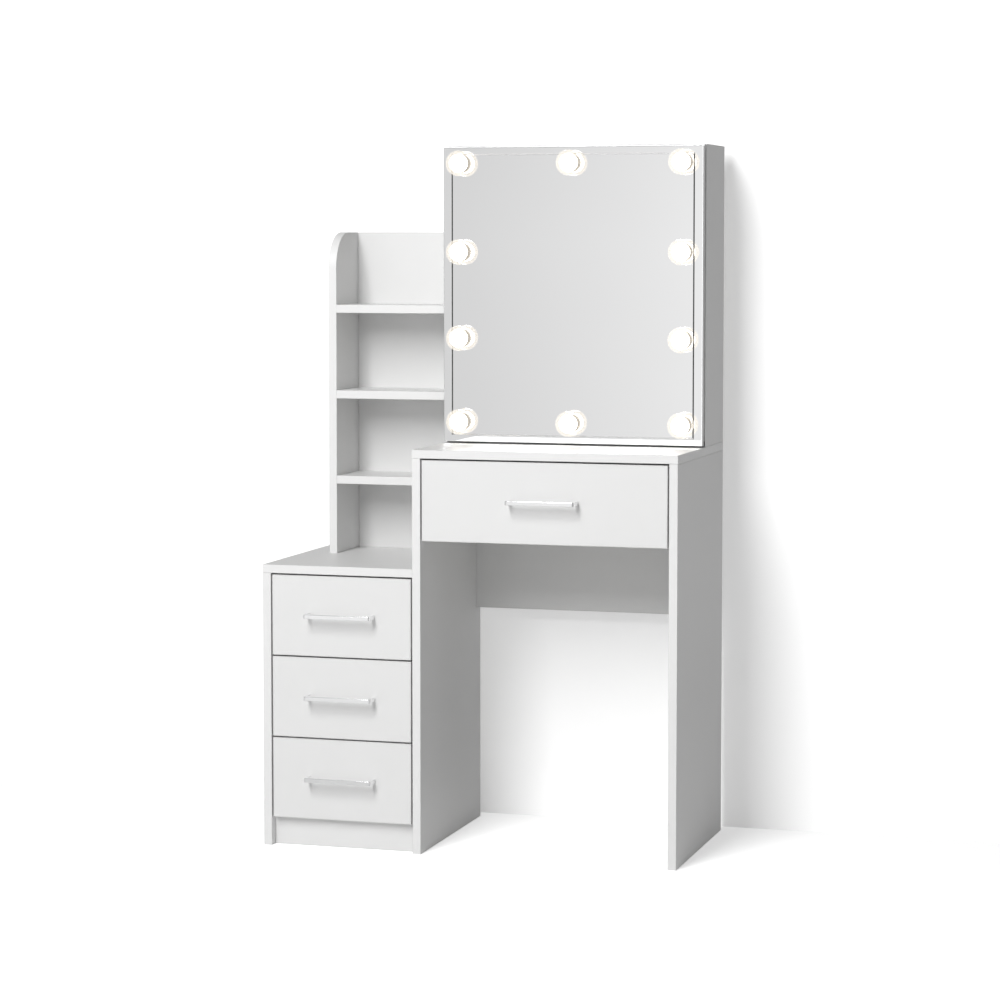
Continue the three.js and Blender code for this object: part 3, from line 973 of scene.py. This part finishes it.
def makeFittings(look, runner):
    cap = capHead("camCap", look["capRadius"], look["capHeight"])
    screw = screwHead("runnerScrew", look["screwRadius"], 1.0 * mm, 0.55 * mm)
    flatScrew = screwHead("boxScrew", look["screwRadius"], 0.6 * mm, 0.4 * mm)
    handleScrew = screwHead("handleScrew", look["handleScrewRadius"], 1.9 * mm, 1.1 * mm)
    radius, wide, hub = runner["rollerRadius"], runner["rollerWidth"], look["rollerHub"]
    stubs = {"carcass": 0.7 * mm, "drawer": 2.2 * mm}
    rollers = {}
    for kind, stub in stubs.items():
        rollers[kind] = turnedHead(kind + "Roller", [
            (0, -0.3 * mm), (hub, -0.3 * mm), (hub, stub), (radius - 0.5 * mm, stub), (radius, stub + 0.5 * mm),
            (radius, stub + wide - 0.5 * mm), (radius - 0.5 * mm, stub + wide), (hub, stub + wide),
            (hub, stub + wide + 0.2 * mm), (0, stub + wide + 0.2 * mm)], 36)
    up, down, left, right, rear = (0, 0, 1), (0, 0, -1), (-1, 0, 0), (1, 0, 0), (0, 1, 0)

    def ends(low, high, inset):
        return (low + inset, high - inset)

    caps = []
    for node in ("tower_back", "desk_back_panel"):  # on their rear faces
        low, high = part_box(node)
        tops = ends(low.z, high.z, look["capRise"])
        caps += [((x, high.y, z), rear, right) for x in ends(low.x, high.x, look["capInset"]) for z in tops]
    undersides = [
        "desk_top", "cabinet_top", "mirror_box_top",
        "tower_shelf_lower", "tower_shelf_middle", "tower_shelf_upper",
    ]
    for node in undersides:
        low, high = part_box(node)
        inner = [low.x, high.x]
        if node == "desk_top":
            inner = [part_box("middle_panel")[1].x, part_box("desk_right_panel")[0].x]
        if node == "cabinet_top":
            inner = [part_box("cabinet_left_panel")[1].x, high.x]
        depths = ends(low.y, high.y, look["capDepth"])
        if node == "desk_top":
            depths = [low.y + d for d in look["deskCapDepths"]]
        caps += [((x, y, low.z), down, right) for x in ends(*inner, look["capInset"]) for y in depths]
    fitOut("camCaps", "carcass", "melamine", cap, caps, capPlastic)

    fixedScrews, fixedRollers = [], []
    for name in drawers:
        body = bodyOf[name + "_front"]
        boxLow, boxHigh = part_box(name + "_box")
        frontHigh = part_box(name + "_front")[1]
        handleLow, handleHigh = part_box(name + "_handle")
        mid = (handleLow.z + handleHigh.z) / 2
        rods = [((x, frontHigh.y, mid), rear, right) for x in ends(handleLow.x, handleHigh.x, 3 * mm)]
        stem = pieceName(name)
        fitOut(stem + "HandleScrews", body, "handle", handleScrew, rods, zincPlate, 1.0, 0.8, 11)
        sides, members, moving = [], [], []
        for sideName, way in (("left", 1), ("right", -1)):
            low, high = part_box(f"{name}_runner_{sideName}")
            panel = low.x if way > 0 else high.x
            wall, base = panel + way * runner["wall"], boxLow.z
            inward, outward = (way, 0, 0), (-way, 0, 0)
            face = boxLow.x if way > 0 else boxHigh.x
            places = [(wall, low.y + d, base + 17 * mm) for d in look["runnerScrewPlaces"]]
            fixedScrews += [(place, inward, rear) for place in places]
            fixedRollers.append(((wall, low.y + 12 * mm, base + 5.5 * mm), inward, rear))
            sides += [((face, boxHigh.y - 6 * mm, base + z), outward, rear) for z in look["boxScrewHeights"]]
            memberFace = face - way * runner["memberWall"]
            places = [(memberFace, boxLow.y + d, base + 7 * mm) for d in look["memberScrewPlaces"]]
            members += [(place, outward, rear) for place in places]
            moving.append(((memberFace, boxHigh.y - 28 * mm, base + 0.7 * mm), outward, rear))
        fitOut(stem + "BoxScrews", body, "melamine", flatScrew, sides, zincPlate, 1.0, 0.8, 23)
        fitOut(stem + "MemberScrews", body, "runner", screw, members, zincPlate, 0.9, 0.8, 5)
        fitOut(stem + "Rollers", body, "runner", rollers["drawer"], moving, nylon)
    fitOut("runnerScrews", "carcass", "runner", screw, fixedScrews, zincPlate, 1.0, 0.8, 3)
    fitOut("runnerRollers", "carcass", "runner", rollers["carcass"], fixedRollers, nylon)

    pin, reach = look["pinRadius"], look["pinReach"]
    pinHead = turnedHead("shelfPin", [
        (0, -1 * mm), (pin, -1 * mm), (pin, 0.1 * mm), (pin + 0.8 * mm, 0.1 * mm), (pin + 0.8 * mm, 1.2 * mm),
        (pin, 1.2 * mm), (pin, reach - 0.6 * mm), (pin - 0.6 * mm, reach), (0, reach)], 28)
    pins = []
    for node in ("mirror_box_shelf_lower", "mirror_box_shelf_upper"):
        low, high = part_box(node)
        for x, way in ((low.x, right), (high.x, left)):
            pins += [((x, y, low.z - pin - 0.8 * mm), way, up) for y in ends(low.y, high.y, look["pinInset"])]
    fitOut("shelfPins", "carcass", "melamine", pinHead, pins, zincPlate)

    wide, deep, tall = look["clipSize"]
    shape = Shape()
    clipLook = {"arris": 0.8 * mm, "arrisSteps": 3, "bandLine": 0, "lineWidth": 0, "lineDepth": 0}
    addBoard(shape, "z", rectangle((0, wide), (-tall / 2, tall / 2)), (0, deep), clipLook)
    clip = shape.piece("backClip", [capPlastic])
    clips, clipScrews = [], []
    for node in ("cabinet_back", "mirror_box_back"):
        low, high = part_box(node)
        for share in look["clipShares"]:
            z = low.z + (high.z - low.z) * share
            for x, way, turn in ((low.x, right, 1), (high.x, left, -1)):
                clips.append(((x, high.y, z), rear, way))
                clipScrews.append(((x + turn * wide * 0.5, high.y + deep, z), rear, way))
    fitOut("backClips", "carcass", "melamine", clip, clips, capPlastic)
    fitOut("backClipScrews", "carcass", "melamine", screw, clipScrews, zincPlate, 0.8, 0.8, 17)

    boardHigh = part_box("mirror_board")[1]
    socketR, socketH = look["socketRadius"], look["socketHeight"]
    socket = turnedHead("lampSocket", [
        (0, -0.3 * mm), (socketR, -0.3 * mm), (socketR, socketH * 0.55), (socketR - 0.6 * mm, socketH * 0.62),
        (socketR - 1.6 * mm, socketH * 0.62), (socketR - 1.6 * mm, socketH - 0.6 * mm),
        (socketR - 2.2 * mm, socketH),
        (3 * mm, socketH), (2.6 * mm, socketH - 0.8 * mm), (0, socketH - 0.8 * mm)], 40)
    places = {}
    for node in lampNodes:
        low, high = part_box(node)
        places[node] = ((low.x + high.x) / 2, boardHigh.y, (low.z + high.z) / 2)
    spots = [(p, rear, right) for p in places.values()]
    fitOut("lampSockets", "sliding_mirror", "diffuser", socket, spots, capPlastic)

    xs = sorted({round(p[0], 5) for p in places.values()})
    zs = sorted({round(p[2], 5) for p in places.values()})
    half, y0, y1 = look["ductWidth"] / 2, boardHigh.y - 0.2 * mm, boardHigh.y + look["ductHeight"]
    ductLook = {"arris": 1.0 * mm, "arrisSteps": 4, "bandLine": 0, "lineWidth": 0, "lineDepth": 0}
    shape = Shape()
    for x in (xs[0], xs[-1]):
        addBoard(shape, "y", rectangle((x - half, x + half), (zs[0] - half, zs[-1] + half)), (y0, y1), ductLook)
    for z in (zs[0], zs[-1]):
        run = (xs[0] + half - 1 * mm, xs[-1] - half + 1 * mm)  # laps 1 mm into the uprights
        addBoard(shape, "y", rectangle(run, (z - half, z + half)), (y0, y1), ductLook)
    settle(shape.piece("wireDuct", [capPlastic]), "sliding_mirror", "diffuser")

    for head in [cap, screw, flatScrew, handleScrew, pinHead, clip, socket, *rollers.values()]:
        bpy.data.objects.remove(head)


makeFittings(fittingLook, runnerLook)
print("fittings ready")


studioLook = {
    "floorTone": 0.92,
    "floorGlow": 0.44,
    "floorReach": 12.0,
    "wallHeight": 9.0,
    "wallGap": 36 * mm,
    "wallGlow": 0.25,
    "bounceTone": 0.78,
    "bounceReach": 3.0,
    "bounceDrop": 2 * mm,  # below the floor that is seen
    "keyPower": 244,
    "keyWide": 1.6,
    "keyTall": 3.4,
    "keyPlace": (-0.80, -4.52, 3.86),
    "aim": (0, 0, 0.65),
}


def paleFinish(name, tone, glow):
    finish = Finish(name, (tone, tone, tone), 0.9)
    finish.set("Specular IOR Level", 0.0)
    finish.set("Emission Color", (1, 1, 1, 1))
    finish.set("Emission Strength", glow)
    return finish


def stagePlane(name, corners, material):
    mesh = bpy.data.meshes.new(name)
    mesh.from_pydata(corners, [], [tuple(range(len(corners)))])
    mesh.materials.append(material)
    made = bpy.data.objects.new(name, mesh)
    scene.collection.objects.link(made)
    return made


def makeStudio(look):
    wide, tall = look["floorReach"], look["wallHeight"]
    wallY = cadHigh.y + look["wallGap"]

    def square(w, z):
        return [(-w, -w, z), (w, -w, z), (w, w, z), (-w, w, z)]

    near = square(look["bounceReach"], -look["bounceDrop"])
    floorFinish = paleFinish("paleFloor", look["floorTone"], look["floorGlow"])
    seen = stagePlane("studioFloor", square(wide, 0), floorFinish.material)
    bounce = stagePlane("bounceFloor", near, paleFinish("bounceTone", look["bounceTone"], 0).material)
    for flag in ("visible_diffuse", "visible_glossy", "visible_transmission", "visible_shadow"):
        setattr(seen, flag, False)
    bounce.visible_camera = False
    bounce.visible_shadow = False

    wall = paleFinish("paleWall", look["floorTone"], look["wallGlow"])  # seen from the front only
    clear = wall.tree.nodes.new("ShaderNodeBsdfTransparent")
    facing = wall.tree.nodes.new("ShaderNodeNewGeometry")
    mix = wall.tree.nodes.new("ShaderNodeMixShader")
    output = wall.tree.nodes["Material Output"]
    wall.link(facing.outputs["Backfacing"], mix.inputs["Fac"])
    wall.link(wall.shader.outputs["BSDF"], mix.inputs[1])
    wall.link(clear.outputs["BSDF"], mix.inputs[2])
    wall.link(mix.outputs["Shader"], output.inputs["Surface"])
    corners = [(-wide, wallY, 0), (wide, wallY, 0), (wide, wallY, tall), (-wide, wallY, tall)]
    board = stagePlane("studioWall", corners, wall.material)
    for flag in ("visible_diffuse", "visible_glossy", "visible_transmission", "visible_shadow"):
        setattr(board, flag, False)

    data = bpy.data.lights.new("keyLight", "AREA")
    data.shape = "RECTANGLE"
    data.size, data.size_y = look["keyWide"], look["keyTall"]
    data.energy = look["keyPower"]
    key = bpy.data.objects.new("keyLight", data)
    key.location = look["keyPlace"]
    key.rotation_euler = (Vector(look["aim"]) - key.location).to_track_quat("-Z", "Y").to_euler()
    key.visible_glossy = True
    scene.collection.objects.link(key)


skyLook = [  # brightness across the studio, from the left side to the right side
    (-1.0, 0.45),
    (-0.30, 0.72),
    (-0.218, 0.89),
    (-0.16, 0.88),
    (0.0, 0.43),
    (0.4, 0.33),
    (0.94, 0.35),
    (0.952, 1.8),  # a narrow strip that lights the edges on the right
    (0.978, 1.8),
    (0.99, 0.35),
]


skyHeights = [  # and from straight below to straight above
    (-1.0, 0.6),
    (-0.30, 1.15),
    (-0.10, 1.28),
    (-0.075, 0.97),
    (0.0, 1.0),
    (1.0, 0.24),
]


def makeSky(look, heights):
    world = bpy.data.worlds.new("studioSky")
    scene.world = world
    world.use_nodes = True
    tree = world.node_tree
    coords = tree.nodes.new("ShaderNodeTexCoord")
    split = tree.nodes.new("ShaderNodeSeparateXYZ")
    across = tree.nodes.new("ShaderNodeMapRange")
    across.inputs["From Min"].default_value = -1
    ramp = tree.nodes.new("ShaderNodeValToRGB")
    upward = tree.nodes.new("ShaderNodeMapRange")
    upward.inputs["From Min"].default_value = -1
    rising = tree.nodes.new("ShaderNodeValToRGB")
    both = tree.nodes.new("ShaderNodeMath")
    both.operation = "MULTIPLY"
    for colours, steps in ((ramp, look), (rising, heights)):
        elements = colours.color_ramp.elements
        for i, (side, level) in enumerate(steps):
            place = (side + 1) / 2
            element = elements[i] if i < 2 else elements.new(place)
            element.position = place
            element.color = (level / 2, level / 2, level / 2, 1)
    background = tree.nodes["Background"]
    background.inputs["Color"].default_value = (4, 4, 4, 1)  # both ramps hold half of their levels
    tree.links.new(coords.outputs["Generated"], split.inputs[0])
    tree.links.new(split.outputs["X"], across.inputs["Value"])
    tree.links.new(across.outputs["Result"], ramp.inputs["Fac"])
    tree.links.new(split.outputs["Z"], upward.inputs["Value"])
    tree.links.new(upward.outputs["Result"], rising.inputs["Fac"])
    tree.links.new(ramp.outputs["Color"], both.inputs[0])
    tree.links.new(rising.outputs["Color"], both.inputs[1])
    tree.links.new(both.outputs[0], background.inputs["Strength"])


makeStudio(studioLook)
makeSky(skyLook, skyHeights)
scene.view_settings.view_transform = "Standard"
print("studio ready")
